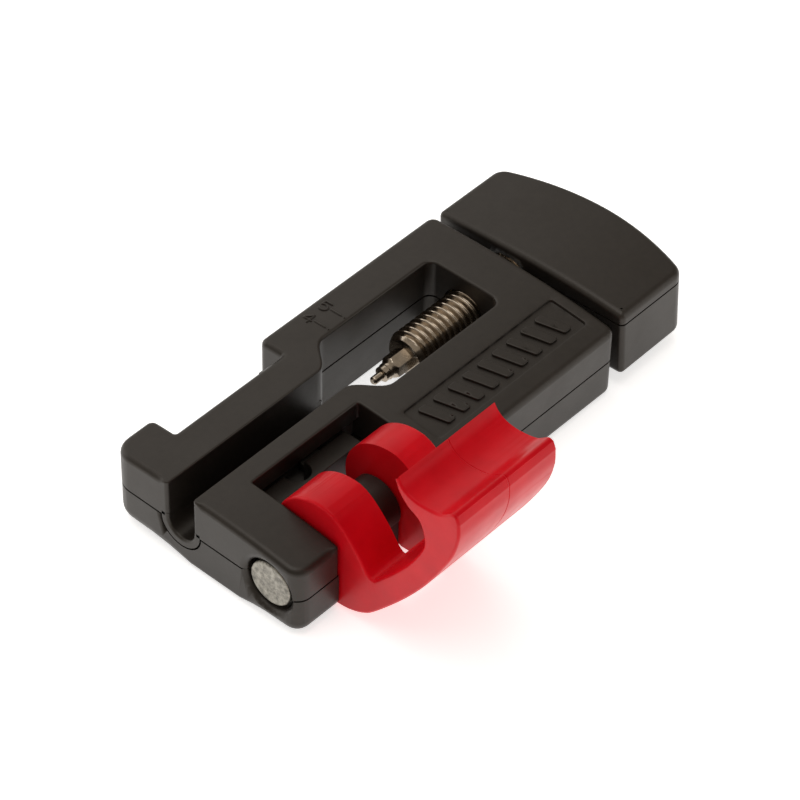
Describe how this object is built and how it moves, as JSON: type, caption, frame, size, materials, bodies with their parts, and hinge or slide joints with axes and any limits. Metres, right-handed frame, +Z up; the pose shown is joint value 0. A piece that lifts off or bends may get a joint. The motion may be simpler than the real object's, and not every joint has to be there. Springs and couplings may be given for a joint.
{
  "type": "hydraulic brake hose clamp and barb driver",
  "caption": "Palm-sized bicycle brake hose tool: black body with a hose channel, red cam lever that clamps the hose, and an end knob that screws a stepped driver pin forward.",
  "frame": {"origin": "on the base plane, under the middle of the object's box with the lever open and the knob screwed in", "axes": "+X along the body from the hose end to the knob, +Y from the lever's side to the plain side, +Z up"},
  "size_m": [0.0914, 0.0604, 0.0344],
  "materials": {
    "black_nylon": "satin, fine texture",
    "red_nylon": "satin, translucent red nylon",
    "bright_steel": "bright nickel plate",
    "zinc_steel": "dull zinc plate",
    "brass": "machined"
  },
  "bodies": {
    "housing": {"body_upper": "black_nylon", "body_lower": "black_nylon", "body_screw_1": "zinc_steel", "body_screw_2": "zinc_steel", "body_screw_3": "zinc_steel", "body_screw_4": "zinc_steel", "lever_pin": "zinc_steel", "pin_retaining_ring": "bright_steel", "drive_nut": "brass"},
    "clamp_lever": {"lever": "red_nylon"},
    "shoe": {"clamp_shoe": "black_nylon"},
    "carriage": {"thrust_washer": "bright_steel"},
    "driver": {"lead_screw": "bright_steel", "driver_pin": "bright_steel", "knob_body": "black_nylon", "knob_cover": "black_nylon", "knob_roll_pin": "bright_steel", "knob_screw_1": "zinc_steel", "knob_screw_2": "zinc_steel"}
  },
  "joints": [
    {"name": "lever_swing", "type": "hinge", "parent": "housing", "child": "clamp_lever", "pos_m": [-0.0257, -0.0018, 0.0073], "axis": [-1, 0, 0], "range_deg": [0, 126]},
    {"name": "shoe_slide", "type": "slide", "parent": "housing", "child": "shoe", "axis": [0, 1, 0], "range_m": [0, 0.0048]},
    {"name": "screw_advance", "type": "slide", "parent": "housing", "child": "carriage", "axis": [1, 0, 0], "range_m": [-0.0014, 0.0181]},
    {"name": "knob_turn", "type": "hinge", "parent": "carriage", "child": "driver", "pos_m": [0.0276, 0.0158, 0.0073], "axis": [1, 0, 0], "range_deg": [-400, 5184]}
  ],
  "couplings": [
    {"joint": "shoe_slide", "follows": "lever_swing", "m_per_rad": 0.00214},
    {"joint": "screw_advance", "follows": "knob_turn", "m_per_rad": 0.00019894}
  ]
}
